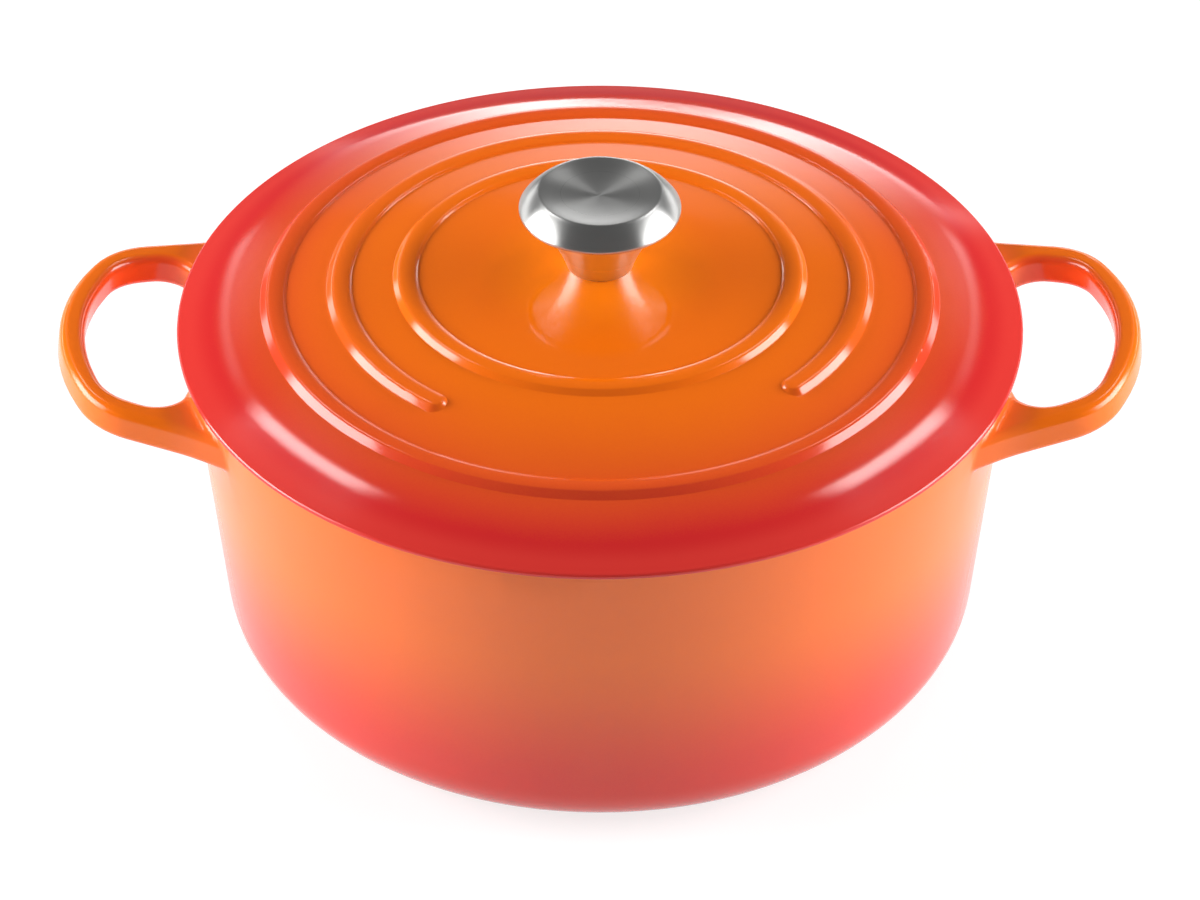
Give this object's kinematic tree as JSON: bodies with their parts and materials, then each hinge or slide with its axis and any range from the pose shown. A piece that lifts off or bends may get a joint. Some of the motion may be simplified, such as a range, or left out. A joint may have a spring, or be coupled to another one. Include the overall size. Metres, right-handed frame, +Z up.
{
  "type": "dutch oven",
  "caption": "Round enamelled cast iron dutch oven with cast loop handles and a domed, ringed lid that lifts off by a brushed steel knob.",
  "frame": {"origin": "centre of the pot's underside, on the surface it stands on", "axes": "+Z up along the pot's axis, +X through the right-hand handle, -Y towards the picture's camera"},
  "size_m": [0.3786, 0.2948, 0.1784],
  "materials": {
    "pot_enamel": "glossy fired enamel over cast iron, orange at the rim shading to red at the base, cream enamel inside",
    "lid_enamel": "glossy fired enamel over cast iron, orange in the middle shading to red at the edge, cream enamel underneath",
    "knob_steel": "stainless steel, brushed in circles",
    "fastener_steel": "plain stainless steel"
  },
  "bodies": {
    "pot": {"pot_body": "pot_enamel"},
    "lid_assembly": {"lid": "lid_enamel", "knob_cap": "knob_steel", "knob_stem": "knob_steel", "knob_bush": "fastener_steel", "knob_screw": "fastener_steel", "flat_washer": "fastener_steel", "lock_washer": "fastener_steel"}
  },
  "joints": [
    {"name": "lid_lift", "type": "slide", "parent": "pot", "child": "lid_assembly", "axis": [0, 0, 1], "range_m": [0, 0.2]}
  ]
}
